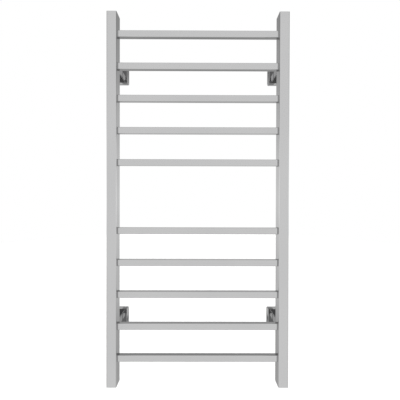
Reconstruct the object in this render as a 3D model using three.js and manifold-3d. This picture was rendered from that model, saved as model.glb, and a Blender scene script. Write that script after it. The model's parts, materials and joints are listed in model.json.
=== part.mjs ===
// An electric ladder towel warmer for a wall: two square uprights joined by flat bars, held off
// the wall by four square arms that plug onto wall plates behind square cover plates.
// Millimetres. X runs to the right, Y runs back into the wall, Z runs up.
// The origin is on the wall, at the centre of the four wall plates.

import * as THREE from 'three';
import { mergeVertices } from 'three/addons/utils/BufferGeometryUtils.js';
import Module from 'manifold-3d';

const wasm = await Module();
wasm.setup();

// ---------- driving dimensions ----------

const RACK_HEIGHT = 1120;
const FIXING_WIDTH = 514; // between the middles of the two uprights
const FIXING_HEIGHT = 789; // between the middles of the lower and upper wall plates
const FIXING_ABOVE_END = 178; // lower wall plates above the bottom end of the uprights
const RACK_DEPTH = 74; // front of the uprights to the wall

const UPRIGHT_SIZE = 30;
const UPRIGHT_WALL = 1.5;
const UPRIGHT_ROUND = 2.5;

const BAR_HEIGHT = 20;
const BAR_DEPTH = 12;
const BAR_WALL = 1.2;
const BAR_ROUND = 1.8;
const BAR_PITCH = 96.8;
const BARS_IN_GROUP = 5;
const GROUP_GAP = 206; // between the middles of the two bars on either side of the wide gap
const BOTTOM_BAR_ABOVE_END = 80;
const BAR_INSIDE_UPRIGHT = 3; // how far a bar's end stands inside the upright's wall

const ARM_SIZE = 23;
const ARM_ROUND = 2.5;
const ARM_BORE = 15;
const SPIGOT_DIAMETER = 14.4;
const SPIGOT_LENGTH = 24;
const PLATE_SIZE = 46;
const PLATE_THICKNESS = 4;
const PLATE_ROUND = 4;
const CABLE_HOLE = 9.5;
const FIXING_HOLE = 5.2;
const FIXING_HEAD = 10;
const FIXING_OFFSET = 16; // fixing holes above and below the middle of a wall plate
const EARTH_OFFSET = 15.2; // earth screw beside the middle of a wall plate
const EARTH_HOLE = 4;
const EARTH_HEAD = 6;
const EARTH_HEAD_HEIGHT = 1.1;
const EARTH_SHANK = 3.4;
const WASHER_THICKNESS = 0.5;
const GRUB_DIAMETER = 5;
const GRUB_FROM_WALL = 18;

const COVER_SIZE = 59;
const COVER_ROUND = 4;
const COVER_DEPTH = 10.5;
const COVER_EDGE = 6.5; // straight edge of a cover plate, before its bevel
const COVER_FLAT = 51; // flat front of a cover plate
const COVER_WALL = 1.5;

const CAP_THICKNESS = 3;
const CAP_SKIRT = 8;
const CAP_SKIRT_WALL = 2;

const CABLE_DIAMETER = 4.5;
const CABLE_BEND = 8;
const LEAD_DIAMETER = 3;

const GAP = 0.3; // between faces that touch
const ROUND_SIDES = 20; // sides of a round hole or pin
const CORNER_STEPS = 6; // flats that make up a rounded corner

// ---------- derived places ----------

const bottomEnd = -FIXING_HEIGHT / 2 - FIXING_ABOVE_END;
const topEnd = bottomEnd + RACK_HEIGHT;
const railX = FIXING_WIDTH / 2;
const railY = -RACK_DEPTH + UPRIGHT_SIZE / 2;
const railBack = railY + UPRIGHT_SIZE / 2;
const insideHalf = UPRIGHT_SIZE / 2 - UPRIGHT_WALL;
const barHalfLength = railX - insideHalf + BAR_INSIDE_UPRIGHT;
const groupHeight = (BARS_IN_GROUP - 1) * BAR_PITCH;
const bottomBar = bottomEnd + BOTTOM_BAR_ABOVE_END;
const barHeights = []; // bottom bar first
for (const groupStart of [bottomBar, bottomBar + groupHeight + GROUP_GAP]) {
  for (let i = 0; i < BARS_IN_GROUP; i += 1) barHeights.push(groupStart + i * BAR_PITCH);
}

const brackets = []; // one for each corner of the rack
for (const [level, z] of [['upper', FIXING_HEIGHT / 2], ['lower', -FIXING_HEIGHT / 2]]) {
  for (const [side, x] of [['left', -railX], ['right', railX]]) {
    brackets.push({ name: `${level}_${side}`, x, z });
  }
}
const cableBracket = brackets.find((b) => b.name === 'lower_left');

// The joint block and the leads stand inside the left upright.
const POLE_OFFSET = 5;
const BLOCK = { width: 22, depth: 12, height: 30, below: 25 };
const blockX = -railX - 1.5;
const blockTop = cableBracket.z - BLOCK.below;
const blockBottom = blockTop - BLOCK.height;
const returnX = blockX - POLE_OFFSET;
const CUTOUT = { diameter: 7, height: 24, above: 20 };
const cutoutBottom = cableBracket.z + CUTOUT.above;
const cutoutTop = cutoutBottom + CUTOUT.height;
const SPLICE = { diameter: 6.5, height: 24, below: 32 };
const spliceTop = barHeights.at(-1) - SPLICE.below;
const spliceBottom = spliceTop - SPLICE.height;

// ---------- materials ----------

const polishedSteel = () =>
  new THREE.MeshStandardMaterial({ color: 0xc8c8ca, roughness: 0.12, metalness: 1 });
const plainSteel = () =>
  new THREE.MeshStandardMaterial({ color: 0x9c9da0, roughness: 0.4, metalness: 1 });
const blackSteel = () =>
  new THREE.MeshStandardMaterial({ color: 0x2b2c2e, roughness: 0.5, metalness: 0.8 });
const brass = () =>
  new THREE.MeshStandardMaterial({ color: 0xc7a453, roughness: 0.35, metalness: 1 });
const silicone = () =>
  new THREE.MeshStandardMaterial({ color: 0xb5533c, roughness: 0.6, metalness: 0 });
const whiteSleeve = () =>
  new THREE.MeshStandardMaterial({ color: 0xe6e3da, roughness: 0.6, metalness: 0 });
const blackRubber = () =>
  new THREE.MeshStandardMaterial({ color: 0x1d1d1e, roughness: 0.8, metalness: 0 });
const ceramic = () =>
  new THREE.MeshStandardMaterial({ color: 0xf0eee6, roughness: 0.45, metalness: 0 });

// ---------- shape helpers ----------

function roundedRectangle(width, height, round) {
  const x = width / 2 - round;
  const y = height / 2 - round;
  const shape = new THREE.Shape();
  shape.absarc(x, y, round, 0, Math.PI / 2);
  shape.absarc(-x, y, round, Math.PI / 2, Math.PI);
  shape.absarc(-x, -y, round, Math.PI, 1.5 * Math.PI);
  shape.absarc(x, -y, round, 1.5 * Math.PI, 2 * Math.PI);
  return shape;
}

function circle(diameter) {
  const shape = new THREE.Shape();
  shape.absarc(0, 0, diameter / 2, 0, 2 * Math.PI);
  return shape;
}

function hexagon(acrossFlats) {
  const corner = acrossFlats / Math.sqrt(3);
  const shape = new THREE.Shape();
  for (let i = 0; i < 6; i += 1) {
    const angle = (i * Math.PI) / 3;
    const draw = i === 0 ? 'moveTo' : 'lineTo';
    shape[draw](corner * Math.cos(angle), corner * Math.sin(angle));
  }
  return shape;
}

// A straight piece of one section, from 0 to length along Z. Each arc of the section, a rounded
// corner or a whole circle, is made of arcSteps flats.
function straight(shape, length, arcSteps = CORNER_STEPS) {
  return new THREE.ExtrudeGeometry(shape, {
    depth: length,
    bevelEnabled: false,
    curveSegments: arcSteps / 2,
  });
}

const rod = (diameter, length) => straight(circle(diameter), length, ROUND_SIDES);

function hollow(outer, inner, length, arcSteps = CORNER_STEPS) {
  outer.holes.push(inner);
  return straight(outer, length, arcSteps);
}

// Turns a piece that lies along Z so that it runs along another direction.
const alongX = (geometry) => geometry.rotateY(Math.PI / 2).rotateX(Math.PI / 2);
const towardsWall = (geometry) => geometry.rotateX(-Math.PI / 2);
const towardsRoom = (geometry) => geometry.rotateX(Math.PI / 2);

function solid(geometry) {
  const bare = new THREE.BufferGeometry();
  bare.setAttribute('position', geometry.getAttribute('position'));
  bare.setIndex(geometry.getIndex());
  const merged = mergeVertices(bare, 1e-4);
  return new wasm.Manifold(
    new wasm.Mesh({
      numProp: 3,
      vertProperties: new Float32Array(merged.getAttribute('position').array),
      triVerts: new Uint32Array(merged.getIndex().array),
    }),
  );
}

function toGeometry(manifold) {
  const mesh = manifold.getMesh();
  const geometry = new THREE.BufferGeometry();
  geometry.setAttribute('position', new THREE.BufferAttribute(mesh.vertProperties, 3));
  geometry.setIndex(new THREE.BufferAttribute(mesh.triVerts, 1));
  geometry.computeVertexNormals();
  return geometry;
}

const rack = new THREE.Group();

function place(name, geometry, material, x = 0, y = 0, z = 0) {
  const mesh = new THREE.Mesh(geometry, material);
  mesh.name = name;
  mesh.position.set(x, y, z);
  rack.add(mesh);
}

// ---------- uprights, end caps and bars ----------

// A square tube with a slot in its inner wall for each bar. inward is +1 when the bars are on its
// +X side. A cable hole through the back wall is made where cableHoleAt gives a height.
function upright(inward, cableHoleAt) {
  const bore = 2 * insideHalf;
  const tube = hollow(
    roundedRectangle(UPRIGHT_SIZE, UPRIGHT_SIZE, UPRIGHT_ROUND),
    roundedRectangle(bore, bore, UPRIGHT_ROUND - UPRIGHT_WALL),
    RACK_HEIGHT,
  );
  let body = solid(tube.translate(0, 0, bottomEnd));
  const slotShape = () =>
    roundedRectangle(BAR_DEPTH + 2 * GAP, BAR_HEIGHT + 2 * GAP, BAR_ROUND + GAP);
  const slotStart = inward > 0 ? insideHalf / 2 : -UPRIGHT_SIZE;
  for (const z of barHeights) {
    const slot = alongX(straight(slotShape(), UPRIGHT_SIZE - insideHalf / 2));
    body = body.subtract(solid(slot.translate(slotStart, 0, z)));
  }
  if (cableHoleAt !== undefined) {
    const hole = towardsWall(rod(CABLE_HOLE, UPRIGHT_SIZE));
    body = body.subtract(solid(hole.translate(0, 0, cableHoleAt)));
  }
  return toGeometry(body);
}

// A plug that closes one end of an upright, flush with it. Its skirt points down from z = 0.
function endCap() {
  const size = 2 * insideHalf - 2 * GAP;
  const skirtBore = size - 2 * CAP_SKIRT_WALL;
  const round = UPRIGHT_ROUND - UPRIGHT_WALL;
  const block = solid(straight(roundedRectangle(size, size, round), CAP_SKIRT));
  const pocket = solid(straight(roundedRectangle(skirtBore, skirtBore, round), CAP_SKIRT));
  return toGeometry(block.subtract(pocket.translate(0, 0, -CAP_THICKNESS)))
    .translate(0, 0, -CAP_SKIRT);
}

function towelBar() {
  const tube = hollow(
    roundedRectangle(BAR_DEPTH, BAR_HEIGHT, BAR_ROUND),
    roundedRectangle(BAR_DEPTH - 2 * BAR_WALL, BAR_HEIGHT - 2 * BAR_WALL, BAR_ROUND - BAR_WALL),
    2 * barHalfLength,
  );
  return alongX(tube).translate(-barHalfLength, 0, 0);
}

// ---------- brackets: each is made about the middle of its wall plate, on the wall ----------

const fixingHole = () =>
  new THREE.LatheGeometry(
    [
      new THREE.Vector2(0, -1),
      new THREE.Vector2(FIXING_HOLE / 2, -1),
      new THREE.Vector2(FIXING_HOLE / 2, PLATE_THICKNESS - (FIXING_HEAD - FIXING_HOLE) / 2),
      new THREE.Vector2(FIXING_HEAD / 2 + 1, PLATE_THICKNESS + 1),
      new THREE.Vector2(0, PLATE_THICKNESS + 1),
    ],
    ROUND_SIDES,
  ).rotateX(Math.PI);

// A square plate for two wall screws, with a hollow spigot that the arm slides over.
function wallPlate() {
  const plate = towardsRoom(
    straight(roundedRectangle(PLATE_SIZE, PLATE_SIZE, PLATE_ROUND), PLATE_THICKNESS),
  );
  const spigot = towardsRoom(rod(SPIGOT_DIAMETER, PLATE_THICKNESS + SPIGOT_LENGTH));
  let body = solid(plate).add(solid(spigot));
  const cableHole = towardsRoom(rod(CABLE_HOLE, RACK_DEPTH)).translate(0, 1, 0);
  body = body.subtract(solid(cableHole));
  for (const z of [-FIXING_OFFSET, FIXING_OFFSET]) {
    body = body.subtract(solid(fixingHole().translate(0, 0, z)));
  }
  const earthHole = towardsRoom(rod(EARTH_HOLE, RACK_DEPTH)).translate(EARTH_OFFSET, 1, 0);
  return toGeometry(body.subtract(solid(earthHole)));
}

// The square arm between the upright and the wall plate, bored for the spigot and the cable, with
// a hole in its underside for the grub screw.
function arm() {
  const armBack = PLATE_THICKNESS + GAP;
  const length = -railBack - GAP - armBack;
  const tube = hollow(
    roundedRectangle(ARM_SIZE, ARM_SIZE, ARM_ROUND),
    circle(ARM_BORE),
    length,
    ROUND_SIDES - 4,
  );
  const body = solid(towardsRoom(tube).translate(0, -armBack, 0));
  const grubHole = rod(GRUB_DIAMETER + 2 * GAP, ARM_SIZE / 2)
    .translate(0, -GRUB_FROM_WALL, -ARM_SIZE / 2 - 1);
  return toGeometry(body.subtract(solid(grubHole)));
}

// A square block whose four sides slope in from size at its back to front at its front.
function bevelledBlock(size, front, round, edge, depth) {
  const block = solid(towardsRoom(straight(roundedRectangle(size, size, round), depth)));
  const slope = (depth - edge) / ((size - front) / 2);
  const baseHalf = front / 2 + (depth + 1) / slope;
  const toCorner = Math.SQRT2;
  const pyramid = new THREE.CylinderGeometry(
    (front / 2) * toCorner,
    baseHalf * toCorner,
    depth + 1,
    4,
  );
  const turned = towardsRoom(pyramid.rotateY(Math.PI / 4).translate(0, (depth - 1) / 2, 0)
    .rotateX(Math.PI / 2));
  return block.intersect(solid(turned));
}

// The square plate that slides along the arm and hides the wall plate: a shallow hollow dish with
// a bevelled rim and a square hole for the arm.
function coverPlate() {
  const outside = bevelledBlock(COVER_SIZE, COVER_FLAT, COVER_ROUND, COVER_EDGE, COVER_DEPTH);
  const inside = bevelledBlock(
    COVER_SIZE - 2 * COVER_WALL,
    COVER_FLAT - COVER_WALL,
    COVER_ROUND - COVER_WALL,
    COVER_EDGE,
    COVER_DEPTH - COVER_WALL,
  );
  const armHole = towardsRoom(
    straight(
      roundedRectangle(ARM_SIZE + 2 * GAP, ARM_SIZE + 2 * GAP, ARM_ROUND + GAP),
      2 * COVER_DEPTH,
    ),
  );
  const wallGap = towardsRoom(straight(roundedRectangle(COVER_SIZE * 2, COVER_SIZE * 2, 1), 2 * GAP))
    .translate(0, GAP, 0);
  return toGeometry(
    outside.subtract(inside).subtract(solid(armHole)).subtract(solid(wallGap)),
  );
}

// A short headless screw with a hexagon socket, standing upright with its socket at the bottom.
function grubScrew() {
  const length = ARM_SIZE / 2 - GAP - SPIGOT_DIAMETER / 2 - GAP;
  const socketDepth = 1.8;
  const body = solid(rod(GRUB_DIAMETER, length));
  const socket = solid(straight(hexagon(2.5), socketDepth + 1).translate(0, 0, -1));
  return toGeometry(body.subtract(socket));
}

// ---------- heating cable, leads and their joints ----------

// A route of straight and curved stretches, each with its own number of steps.
class Route extends THREE.Curve {
  constructor() {
    super();
    this.steps = [];
  }

  add(curve, count) {
    for (let i = 0; i < count; i += 1) this.steps.push([curve, i / count]);
    this.last = curve;
  }

  getPoint(t, target = new THREE.Vector3()) {
    const place = t * this.steps.length;
    const index = Math.min(Math.floor(place), this.steps.length - 1);
    const [curve, start] = this.steps[index];
    const next = this.steps[index + 1];
    const end = next && next[0] === curve ? next[1] : 1;
    return curve.getPoint(start + (end - start) * (place - index), target);
  }

  getUtoTmapping(u) {
    return u;
  }

  tube(diameter, sides = 8) {
    const section = circle(diameter);
    return new THREE.ExtrudeGeometry(section, {
      steps: this.steps.length,
      curveSegments: sides / 2,
      extrudePath: this,
    });
  }
}

const BEND_STEPS = 4;
const point = (x, z) => new THREE.Vector3(x, railY, z);

// The centre line of a cable that runs through points and rounds each corner between them.
function roundedRoute(points, bend) {
  const route = new Route();
  let from = points[0];
  for (let i = 1; i < points.length - 1; i += 1) {
    const corner = points[i];
    const back = points[i - 1].clone().sub(corner).setLength(bend).add(corner);
    const ahead = points[i + 1].clone().sub(corner).setLength(bend).add(corner);
    route.add(new THREE.LineCurve3(from, back), 1);
    route.add(new THREE.QuadraticBezierCurve3(back, corner, ahead), BEND_STEPS);
    from = ahead;
  }
  route.add(new THREE.LineCurve3(from, points.at(-1)), 1);
  return route;
}

// The cable starts below the joint block, runs to and fro through every bar from the bottom bar
// up, and ends at the splice below the top bar.
function heatingCable() {
  const startX = blockX + POLE_OFFSET;
  const points = [point(startX, blockBottom - GAP)];
  barHeights.forEach((z, i) => {
    const startsLeft = i % 2 === 0;
    const leftX = i === 0 ? startX : -railX;
    const ends = [point(leftX, z), point(railX, z)];
    points.push(...(startsLeft ? ends : ends.reverse()));
  });
  points.push(point(-railX, spliceTop + GAP));
  return roundedRoute(points, CABLE_BEND).tube(CABLE_DIAMETER);
}

// From the splice across to the outer side of the upright and down to the thermal cut-out.
function returnLead() {
  const shiftTop = spliceBottom - 8;
  const shiftBottom = shiftTop - 14;
  const route = roundedRoute(
    [
      point(-railX, spliceBottom - GAP),
      point(-railX, shiftTop),
      point(returnX, shiftBottom),
      point(returnX, cutoutTop + GAP),
    ],
    5,
  );
  return route.tube(LEAD_DIAMETER);
}

function jointBlock() {
  const blank = straight(roundedRectangle(BLOCK.width, BLOCK.depth, 1.5), BLOCK.height);
  let body = solid(blank);
  for (const x of [-POLE_OFFSET, POLE_OFFSET]) {
    const wireHole = rod(5.4, BLOCK.height + 2).translate(x, 0, -1);
    body = body.subtract(solid(wireHole));
    for (const z of [BLOCK.height / 4, (3 * BLOCK.height) / 4]) {
      const screwHole = towardsRoom(rod(3.4, BLOCK.depth)).translate(x, 0, z);
      body = body.subtract(solid(screwHole));
    }
  }
  return toGeometry(body);
}

// A rubber bush with a flange, fitted in the room end of the spigot's cable hole.
function grommet() {
  const bore = 7.2 / 2;
  const bush = CABLE_HOLE / 2 - GAP;
  const flange = SPIGOT_DIAMETER / 2 - 0.4;
  const profile = [
    [bore, -8],
    [bush, -8],
    [bush, 0],
    [flange, 0],
    [flange, 1.5],
    [bore, 1.5],
    [bore, -8],
  ].map(([r, y]) => new THREE.Vector2(r, y));
  return new THREE.LatheGeometry(profile, ROUND_SIDES).rotateX(Math.PI);
}

// A pan-head screw pointing at the wall; y = 0 is the underside of its head.
function earthScrew() {
  const head = towardsRoom(rod(EARTH_HEAD, EARTH_HEAD_HEIGHT));
  const shank = towardsWall(rod(EARTH_SHANK, PLATE_THICKNESS));
  const slot = new THREE.BoxGeometry(2 * EARTH_HEAD, EARTH_HEAD_HEIGHT, 0.8)
    .translate(0, -EARTH_HEAD_HEIGHT, 0);
  return toGeometry(solid(head).add(solid(shank)).subtract(solid(slot)));
}

const washer = () =>
  towardsRoom(
    hollow(circle(EARTH_HEAD + 0.4), circle(EARTH_HOLE), WASHER_THICKNESS, ROUND_SIDES),
  );

// ---------- assembly ----------

place('left_upright', upright(1, cableBracket.z), polishedSteel(), -railX, railY);
place('right_upright', upright(-1), polishedSteel(), railX, railY);

for (const [side, x] of [['left', -railX], ['right', railX]]) {
  place(`${side}_top_cap`, endCap(), polishedSteel(), x, railY, topEnd);
  const bottomCap = endCap().rotateX(Math.PI);
  place(`${side}_bottom_cap`, bottomCap, polishedSteel(), x, railY, bottomEnd);
}

// Bars are numbered from the top.
barHeights.toReversed().forEach((z, i) => {
  const number = String(i + 1).padStart(2, '0');
  place(`towel_bar_${number}`, towelBar(), polishedSteel(), 0, railY, z);
});

for (const { name, x, z } of brackets) {
  place(`wall_plate_${name}`, wallPlate(), plainSteel(), x, 0, z);
  place(`arm_${name}`, arm(), polishedSteel(), x, 0, z);
  place(`cover_plate_${name}`, coverPlate(), polishedSteel(), x, 0, z);
  const grubZ = z - ARM_SIZE / 2 + GAP;
  place(`grub_screw_${name}`, grubScrew(), blackSteel(), x, -GRUB_FROM_WALL, grubZ);
}

place('heating_cable', heatingCable(), silicone());
place('cable_splice', rod(SPLICE.diameter, SPLICE.height), blackRubber(),
  -railX, railY, spliceBottom);
place('return_lead', returnLead(), whiteSleeve());
place('thermal_cutout', rod(CUTOUT.diameter, CUTOUT.height), ceramic(),
  returnX, railY, cutoutBottom);
place('cutout_lead', rod(LEAD_DIAMETER, cutoutBottom - blockTop - 2 * GAP), whiteSleeve(),
  returnX, railY, blockTop + GAP);
place('joint_block', jointBlock(), ceramic(), blockX, railY, blockBottom);

const spigotEnd = -PLATE_THICKNESS - SPIGOT_LENGTH - GAP;
place('cable_grommet', grommet(), blackRubber(), cableBracket.x, spigotEnd, cableBracket.z);
const earthX = cableBracket.x + EARTH_OFFSET;
const washerBack = -PLATE_THICKNESS - GAP;
place('earth_washer', washer(), brass(), earthX, washerBack, cableBracket.z);
const headBack = washerBack - WASHER_THICKNESS - GAP;
place('earth_screw', earthScrew(), brass(), earthX, headBack, cableBracket.z);

export default rack;
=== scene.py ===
"""The looks of a wall-hung electric ladder towel warmer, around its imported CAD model.

Metres, X to the right, Y back into the wall, Z up, origin on the wall.
"""

import json
import math

import bpy
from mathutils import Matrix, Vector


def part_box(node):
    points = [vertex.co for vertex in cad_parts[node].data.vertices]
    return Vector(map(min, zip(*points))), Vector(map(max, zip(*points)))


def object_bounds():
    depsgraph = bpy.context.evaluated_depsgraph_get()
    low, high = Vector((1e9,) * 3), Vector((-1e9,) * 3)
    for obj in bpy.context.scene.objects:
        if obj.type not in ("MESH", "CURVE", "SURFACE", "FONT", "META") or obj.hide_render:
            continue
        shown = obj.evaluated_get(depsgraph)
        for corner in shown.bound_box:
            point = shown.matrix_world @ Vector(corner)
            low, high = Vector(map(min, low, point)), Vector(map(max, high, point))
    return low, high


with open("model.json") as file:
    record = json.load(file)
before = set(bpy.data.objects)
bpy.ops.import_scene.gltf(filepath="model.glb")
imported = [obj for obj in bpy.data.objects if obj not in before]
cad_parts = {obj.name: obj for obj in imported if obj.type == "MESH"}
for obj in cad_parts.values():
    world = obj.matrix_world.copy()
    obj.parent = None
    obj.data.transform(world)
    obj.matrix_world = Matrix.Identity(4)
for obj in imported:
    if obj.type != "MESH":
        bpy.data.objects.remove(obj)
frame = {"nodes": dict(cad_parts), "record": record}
NODES = frame["nodes"]
CAD_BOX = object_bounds()

MM = 0.001

# ---------- camera and room ----------

CAMERA_DISTANCE = 0.648  # in front of the uprights
CAMERA_RIGHT = 0.0053
CAMERA_ABOVE_MIDDLE = 0.0036
CAMERA_DOWN = 0.27  # degrees below level
CAMERA_RIGHT_TURN = 0.12
CAMERA_ROLL = 0.143
CAMERA_SENSOR = 36  # millimetres across
CAMERA_LENS = 19.62  # millimetres

FLOOR_BELOW_RACK = 0.45
FLOOR_RADIUS = 6.0
FLOOR_SIDES = 96
FLOOR_GREY = 0.93
FLOOR_ROUGHNESS = 0.9

# Brightness of the studio as the steel mirrors it. The room in front is even. At the sides and
# behind the rack it falls off above and below level: each pair is the sine of the angle above
# level and the brightness there, as a share of the front.
STUDIO_FRONT = 1.33
STUDIO_SIDES = [
    (-0.8, 0.75),
    (-0.5, 0.7),
    (-0.2, 1.05),
    (0.0, 1.4),
    (0.2, 1.1),
    (0.34, 0.68),
    (0.5, 0.42),
    (0.62, 0.36),
    (0.8, 0.65),
]
STUDIO_BEHIND = [
    (-0.65, 0.29),
    (-0.5, 0.45),
    (-0.35, 0.68),
    (-0.12, 0.78),
    (0.0, 0.84),
    (0.12, 0.78),
    (0.3, 0.64),
    (0.5, 0.45),
    (0.65, 0.33),
]
# Cosines of the angle from straight ahead, and from straight behind, at which the front and the
# back of the room start and are full.
FRONT_EDGE = (0.45, 0.75)
BEHIND_EDGE = (0.5, 0.9)
BACKDROP_WHITE = 1.0  # what the camera sees
DIFFUSE_LIGHT = 1.25  # what lights the matt surfaces


def make_camera():
    low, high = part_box("left_upright")
    middle = (low.z + high.z) / 2
    data = bpy.data.cameras.new("camera")
    data.sensor_width = CAMERA_SENSOR
    data.lens = CAMERA_LENS
    camera = bpy.data.objects.new("camera", data)
    camera.location = (CAMERA_RIGHT, low.y - CAMERA_DISTANCE, middle + CAMERA_ABOVE_MIDDLE)
    camera.rotation_euler = (
        math.radians(90 - CAMERA_DOWN),
        math.radians(-CAMERA_ROLL),
        math.radians(-CAMERA_RIGHT_TURN),
    )
    bpy.context.scene.collection.objects.link(camera)
    bpy.context.scene.camera = camera


WHITE = (1, 1, 1, 1)
MIX_FIRST, MIX_SECOND, MIX_RESULT = 6, 7, 2  # the colour sockets of a Mix node


def make_studio():
    """A mirrored room of several brightnesses, behind a white backdrop that only the camera sees."""
    world = bpy.data.worlds.new("studio")
    bpy.context.scene.world = world
    world.use_nodes = True
    tree = world.node_tree
    tree.nodes.clear()
    new, link = tree.nodes.new, tree.links.new

    direction = new("ShaderNodeTexCoord")
    parts = new("ShaderNodeSeparateXYZ")
    link(direction.outputs["Generated"], parts.inputs[0])
    height = new("ShaderNodeMapRange")
    height.inputs["From Min"].default_value = -1
    link(parts.outputs["Z"], height.inputs["Value"])

    def by_height(levels):
        """The brightness that the levels give at each height."""
        ramp = new("ShaderNodeValToRGB")
        elements = ramp.color_ramp.elements
        ramp.color_ramp.interpolation = "EASE"
        while len(elements) < len(levels):
            elements.new(0.5)
        for element, (sine, value) in zip(elements, levels):
            element.position = (sine + 1) / 2
            element.color = (value, value, value, 1)
        link(height.outputs["Result"], ramp.inputs["Fac"])
        return ramp.outputs["Color"]

    def share_of(edge, sign):
        """How much of a direction belongs behind, where sign is 1, or in front, where it is -1."""
        share = new("ShaderNodeMapRange")
        share.interpolation_type = "SMOOTHSTEP"
        share.inputs["From Min"].default_value = sign * edge[0]
        share.inputs["From Max"].default_value = sign * edge[1]
        link(parts.outputs["Y"], share.inputs["Value"])
        return share.outputs["Result"]

    def blend(share, first, second):
        mix = new("ShaderNodeMix")
        mix.data_type = "RGBA"
        link(share, mix.inputs["Factor"])
        link(first, mix.inputs[MIX_FIRST])
        if second is None:
            mix.inputs[MIX_SECOND].default_value = WHITE
        else:
            link(second, mix.inputs[MIX_SECOND])
        return mix.outputs[MIX_RESULT]

    def background(strength):
        shader = new("ShaderNodeBackground")
        shader.inputs["Color"].default_value = WHITE
        shader.inputs["Strength"].default_value = strength
        return shader

    path = new("ShaderNodeLightPath")

    def choose(ray, otherwise, then):
        """One shader for rays of a kind, and another for the rest."""
        mix = new("ShaderNodeMixShader")
        link(path.outputs[ray], mix.inputs["Fac"])
        link(otherwise.outputs[0], mix.inputs[1])
        link(then.outputs[0], mix.inputs[2])
        return mix

    room = blend(share_of(BEHIND_EDGE, 1), by_height(STUDIO_SIDES), by_height(STUDIO_BEHIND))
    room = blend(share_of(FRONT_EDGE, -1), room, None)
    mirrored = background(STUDIO_FRONT)
    link(room, mirrored.inputs["Color"])
    lit = choose("Is Diffuse Ray", mirrored, background(DIFFUSE_LIGHT))
    seen = choose("Is Camera Ray", lit, background(BACKDROP_WHITE))
    output = new("ShaderNodeOutputWorld")
    link(seen.outputs[0], output.inputs["Surface"])
    bpy.context.scene.view_settings.view_transform = "Standard"


def make_floor():
    low, _ = CAD_BOX
    bpy.ops.mesh.primitive_circle_add(
        vertices=FLOOR_SIDES,
        radius=FLOOR_RADIUS,
        fill_type="NGON",
        location=(0, 0, low.z - FLOOR_BELOW_RACK),
    )
    floor = bpy.context.object
    floor.name = "floor"
    floor.visible_glossy = False
    material = bpy.data.materials.new("pale_floor")
    material.use_nodes = True
    shader = material.node_tree.nodes["Principled BSDF"]
    shader.inputs["Base Color"].default_value = (FLOOR_GREY, FLOOR_GREY, FLOOR_GREY, 1)
    shader.inputs["Roughness"].default_value = FLOOR_ROUGHNESS
    floor.data.materials.append(material)


# ---------- materials ----------

# Most of a noise lies between these two values.
NOISE_LOW = 0.35
NOISE_HIGH = 0.65


class Look:
    """A material under construction: its node tree, its shader and shortcuts to add nodes."""

    def __init__(self, name, colour, roughness, metallic=0.0):
        self.material = bpy.data.materials.new(name)
        self.material.use_nodes = True
        self.tree = self.material.node_tree
        self.shader = self.tree.nodes["Principled BSDF"]
        self.shader.inputs["Metallic"].default_value = metallic
        self.shader.inputs["Roughness"].default_value = roughness
        self.shader.inputs["Base Color"].default_value = (*colour, 1)
        self.place = self.add("ShaderNodeTexCoord").outputs["Object"]

    def add(self, kind):
        return self.tree.nodes.new(kind)

    def link(self, source, target):
        self.tree.links.new(source, target)

    def stretched(self, scale):
        """The object's own coordinates, scaled along each axis."""
        mapping = self.add("ShaderNodeMapping")
        mapping.inputs["Scale"].default_value = scale
        self.link(self.place, mapping.inputs["Vector"])
        return mapping.outputs["Vector"]

    def noise(self, scale, detail, vector=None):
        noise = self.add("ShaderNodeTexNoise")
        noise.inputs["Scale"].default_value = scale
        noise.inputs["Detail"].default_value = detail
        self.link(vector or self.place, noise.inputs["Vector"])
        return noise.outputs["Fac"]

    def between(self, noise, low, high):
        """A noise as a number from low to high."""
        spread = self.add("ShaderNodeMapRange")
        spread.inputs["From Min"].default_value = NOISE_LOW
        spread.inputs["From Max"].default_value = NOISE_HIGH
        spread.inputs["To Min"].default_value = low
        spread.inputs["To Max"].default_value = high
        self.link(noise, spread.inputs["Value"])
        return spread.outputs["Result"]

    def total(self, first, second):
        adder = self.add("ShaderNodeMath")
        adder.operation = "ADD"
        self.link(first, adder.inputs[0])
        self.link(second, adder.inputs[1])
        return adder.outputs["Value"]

    def colours(self, source, dark, light, start=NOISE_LOW, end=NOISE_HIGH):
        """The base colour, dark where source is start or less and light where it is end or more."""
        ramp = self.add("ShaderNodeValToRGB")
        ramp.color_ramp.elements[0].position = start
        ramp.color_ramp.elements[0].color = (*dark, 1)
        ramp.color_ramp.elements[1].position = end
        ramp.color_ramp.elements[1].color = (*light, 1)
        self.link(source, ramp.inputs["Fac"])
        self.link(ramp.outputs["Color"], self.shader.inputs["Base Color"])

    def rough(self, source):
        self.link(source, self.shader.inputs["Roughness"])

    def bump(self, source, depth, strength):
        bump = self.add("ShaderNodeBump")
        bump.inputs["Distance"].default_value = depth
        bump.inputs["Strength"].default_value = strength
        self.link(source, bump.inputs["Height"])
        self.link(bump.outputs["Normal"], self.shader.inputs["Normal"])


STEEL_GREY = 0.41
STEEL_TONE = 0.006  # how far the grey strays
POLISHING_ALONG = 6.0  # noise cycles per metre along the polishing lines
POLISHING_ACROSS = 2600.0
ROLLING_ALONG = 40
ROLLING_ACROSS = 1800
BRAID_SCALE = 900.0


def polished_steel(axis):
    """Mirror-polished steel whose faint polishing lines run along one axis."""
    look = Look(f"polished_steel_{axis}", (STEEL_GREY,) * 3, 0.06, metallic=1.0)
    scale = [POLISHING_ACROSS] * 3
    scale["xyz".index(axis)] = POLISHING_ALONG
    lines = look.noise(1.0, 3.0, look.stretched(scale))
    smudges = look.noise(14.0, 5.0)
    tone = look.noise(5.0, 2.0)
    dark = STEEL_GREY - STEEL_TONE
    light = STEEL_GREY + STEEL_TONE
    look.colours(tone, (dark, dark, dark + 0.002), (light, light, light + 0.001))
    look.rough(look.total(look.between(lines, 0.035, 0.075), look.between(smudges, 0.0, 0.035)))
    look.bump(lines, 0.0015 * MM, 0.4)
    return look.material


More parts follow.
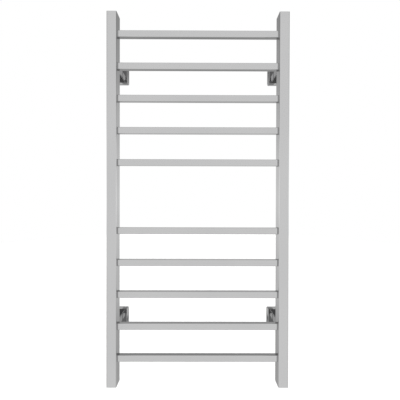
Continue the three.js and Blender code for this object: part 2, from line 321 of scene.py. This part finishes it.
def plain_steel():
    """Zinc-plated pressed plate: fine rolling lines and a cloudy tone."""
    look = Look("plain_steel", (0.5, 0.51, 0.53), 0.38, metallic=1.0)
    lines = look.noise(1.0, 4.0, look.stretched((ROLLING_ALONG, ROLLING_ALONG, ROLLING_ACROSS)))
    clouds = look.noise(60.0, 4.0)
    look.colours(clouds, (0.44, 0.45, 0.46), (0.56, 0.57, 0.58))
    look.rough(look.between(lines, 0.26, 0.44))
    look.bump(lines, 0.01 * MM, 0.6)
    return look.material


def black_steel():
    """Blackened steel of a set screw, a little browner where it is worn."""
    look = Look("black_steel", (0.05, 0.05, 0.055), 0.45, metallic=0.9)
    grain = look.noise(900.0, 3.0)
    look.colours(grain, (0.035, 0.035, 0.04), (0.09, 0.085, 0.08))
    look.rough(look.between(grain, 0.34, 0.55))
    look.bump(grain, 0.01 * MM, 0.5)
    return look.material


def brass():
    look = Look("brass", (0.72, 0.53, 0.24), 0.3, metallic=1.0)
    grain = look.noise(700.0, 4.0)
    look.colours(grain, (0.62, 0.44, 0.18), (0.78, 0.6, 0.3))
    look.rough(look.between(grain, 0.22, 0.4))
    look.bump(grain, 0.01 * MM, 0.5)
    return look.material


def red_silicone():
    look = Look("red_silicone", (0.42, 0.06, 0.035), 0.5)
    dust = look.noise(1200.0, 3.0)
    look.colours(dust, (0.34, 0.045, 0.025), (0.47, 0.075, 0.045))
    look.rough(look.between(look.noise(90.0, 3.0), 0.42, 0.6))
    look.bump(dust, 0.02 * MM, 0.5)
    return look.material


def white_sleeve():
    """Glass-fibre sleeve: a fine braid."""
    look = Look("white_sleeve", (0.78, 0.75, 0.68), 0.65)
    braid = look.add("ShaderNodeTexBrick")
    braid.inputs["Scale"].default_value = BRAID_SCALE
    braid.inputs["Color1"].default_value = (1, 1, 1, 1)
    braid.inputs["Color2"].default_value = (0.8, 0.8, 0.8, 1)
    braid.inputs["Mortar"].default_value = (0, 0, 0, 1)
    look.link(look.place, braid.inputs["Vector"])
    look.colours(braid.outputs["Color"], (0.5, 0.47, 0.4), (0.8, 0.77, 0.7), 0.0, 1.0)
    look.bump(braid.outputs["Color"], 0.05 * MM, 0.8)
    return look.material


def white_ceramic():
    look = Look("white_ceramic", (0.82, 0.8, 0.74), 0.25)
    specks = look.noise(500.0, 5.0)
    look.colours(specks, (0.76, 0.74, 0.67), (0.84, 0.82, 0.76))
    look.rough(look.between(specks, 0.2, 0.38))
    look.bump(look.noise(220.0, 3.0), 0.03 * MM, 0.4)
    return look.material


def black_rubber():
    look = Look("black_rubber", (0.02, 0.02, 0.021), 0.6)
    grain = look.noise(1500.0, 3.0)
    look.colours(grain, (0.014, 0.014, 0.015), (0.03, 0.03, 0.031))
    look.rough(look.between(grain, 0.5, 0.75))
    look.bump(grain, 0.02 * MM, 0.6)
    return look.material


# ---------- smooth, softly edged meshes ----------

MERGE_WITHIN = 0.002 * MM
FLAT_WITHIN = math.radians(0.2)
EDGE_ANGLE = math.radians(32)  # a sharper bend than this is an edge
EDGE_SEGMENTS = 3
NORMALS_BY_AREA = 100  # large faces settle the shading, out of 100
POLISHED_EDGE = 0.3 * MM
SMALL_EDGE = 0.15 * MM


def clean_group():
    """Joins the CAD mesh's split corners and shades it smooth, as a geometry node group."""
    tree = bpy.data.node_groups.new("clean_mesh", "GeometryNodeTree")
    tree.interface.new_socket("Geometry", in_out="INPUT", socket_type="NodeSocketGeometry")
    tree.interface.new_socket("Geometry", in_out="OUTPUT", socket_type="NodeSocketGeometry")
    source = tree.nodes.new("NodeGroupInput")
    merge = tree.nodes.new("GeometryNodeMergeByDistance")
    merge.inputs["Distance"].default_value = MERGE_WITHIN
    forget = tree.nodes.new("GeometryNodeRemoveAttribute")
    forget.inputs["Name"].default_value = "custom_normal"
    smooth = tree.nodes.new("GeometryNodeSetShadeSmooth")
    result = tree.nodes.new("NodeGroupOutput")
    chain = [source, merge, forget, smooth, result]
    for before, after in zip(chain, chain[1:]):
        tree.links.new(before.outputs[0], after.inputs[0])
    return tree


CLEAN = clean_group()


def refine(obj, edge):
    """Turns a faceted CAD mesh into a smooth one whose sharp edges are rounded by edge metres."""
    clean = obj.modifiers.new("clean", "NODES")
    clean.node_group = CLEAN
    planar = obj.modifiers.new("planar", "DECIMATE")
    planar.decimate_type = "DISSOLVE"
    planar.angle_limit = FLAT_WITHIN
    if edge:
        bevel = obj.modifiers.new("edges", "BEVEL")
        bevel.width = edge
        bevel.segments = EDGE_SEGMENTS
        bevel.limit_method = "ANGLE"
        bevel.angle_limit = EDGE_ANGLE
        bevel.use_clamp_overlap = True
    normals = obj.modifiers.new("normals", "WEIGHTED_NORMAL")
    normals.keep_sharp = False
    normals.weight = NORMALS_BY_AREA


def dress(obj, material, edge):
    obj.data.materials.clear()
    obj.data.materials.append(material)
    refine(obj, edge)


# ---------- assembly ----------

make_camera()
make_studio()
make_floor()

LOOKS = {
    "plain_steel": plain_steel(),
    "black_steel": black_steel(),
    "brass": brass(),
    "red_silicone": red_silicone(),
    "white_sleeve": white_sleeve(),
    "white_ceramic": white_ceramic(),
    "black_rubber": black_rubber(),
}
POLISHED = {axis: polished_steel(axis) for axis in "xyz"}
# The polishing lines run along each piece, named here by the first word of its name.
POLISHING_AXIS = {"towel": "x", "arm": "y", "cover": "x", "left": "z", "right": "z"}
ROUND_ROUTES = ("heating_cable", "return_lead")  # their facets aren't edges
SLOTS = {part["node"]: part["material_slot"] for part in frame["record"]["subparts"]}

for name, node in NODES.items():
    slot = SLOTS[name]
    if slot == "polished_steel":
        dress(node, POLISHED[POLISHING_AXIS[name.split("_")[0]]], POLISHED_EDGE)
    elif name in ROUND_ROUTES:
        dress(node, LOOKS[slot], 0)
    else:
        dress(node, LOOKS[slot], SMALL_EDGE)
